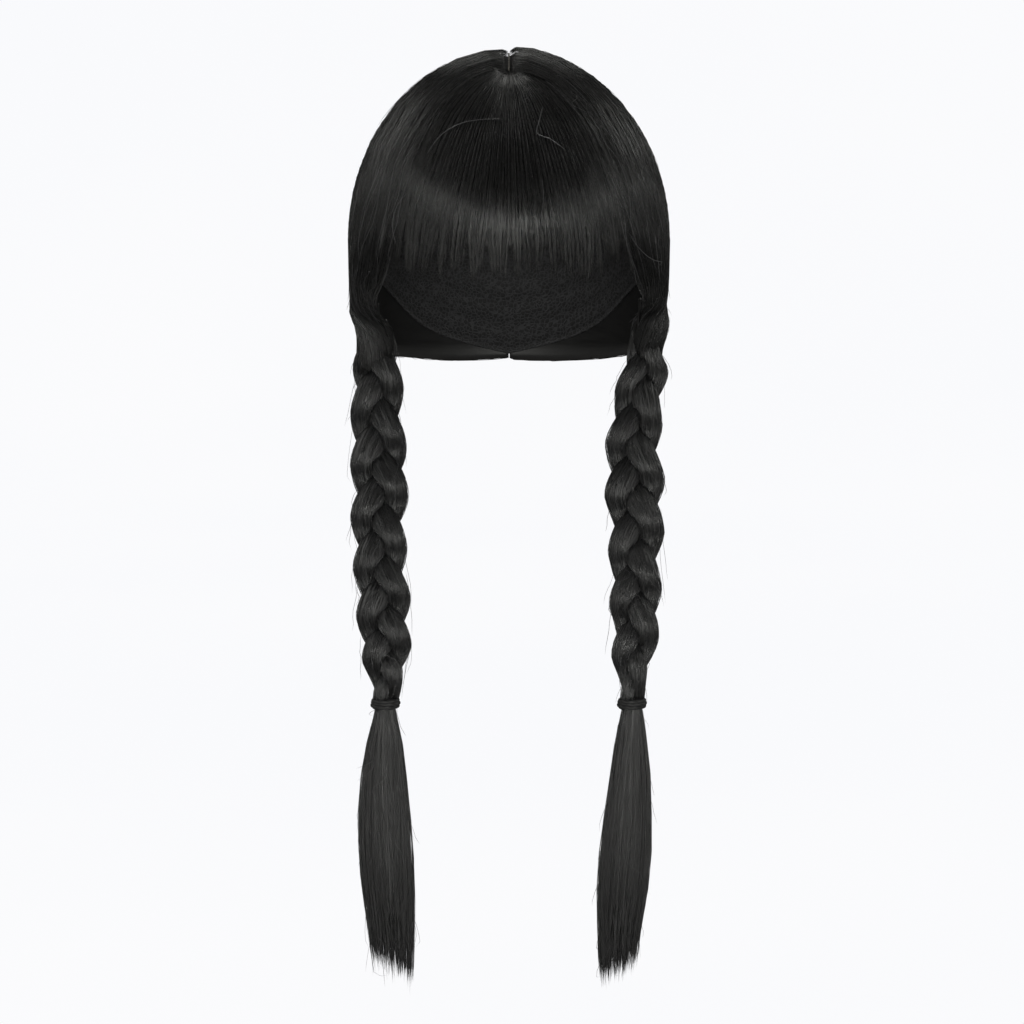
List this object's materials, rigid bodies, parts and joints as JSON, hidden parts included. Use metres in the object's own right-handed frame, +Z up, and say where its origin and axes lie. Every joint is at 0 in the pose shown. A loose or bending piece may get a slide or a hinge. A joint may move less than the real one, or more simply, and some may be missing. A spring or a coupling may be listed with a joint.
{
  "type": "pigtail wig",
  "caption": "Long black wig with a centre part, a full straight fringe and two three-lock braids closed by elastics, on a hollow net cap open below for the head.",
  "frame": {"origin": "inside of the cap's crown, where the top of a head touches it", "axes": "+Z up, fringe facing -Y, wearer's left at +X"},
  "size_m": [0.1687, 0.2027, 0.4871],
  "materials": {
    "hair_fibre": "black heat-set synthetic hair fibre, combed, satin sheen",
    "cap_net": "black knitted net cap with sewn weft rows, matt",
    "tie_elastic": "black thread-covered elastic cord, matt"
  },
  "bodies": {
    "root": {"cap": "cap_net", "crown_hair_right": "hair_fibre", "crown_hair_left": "hair_fibre", "fringe": "hair_fibre", "braid_right_lock_1": "hair_fibre", "braid_right_lock_2": "hair_fibre", "braid_right_lock_3": "hair_fibre", "braid_left_lock_1": "hair_fibre", "braid_left_lock_2": "hair_fibre", "braid_left_lock_3": "hair_fibre", "tail_right": "hair_fibre", "tail_left": "hair_fibre", "tie_right": "tie_elastic", "tie_left": "tie_elastic"}
  },
  "joints": []
}
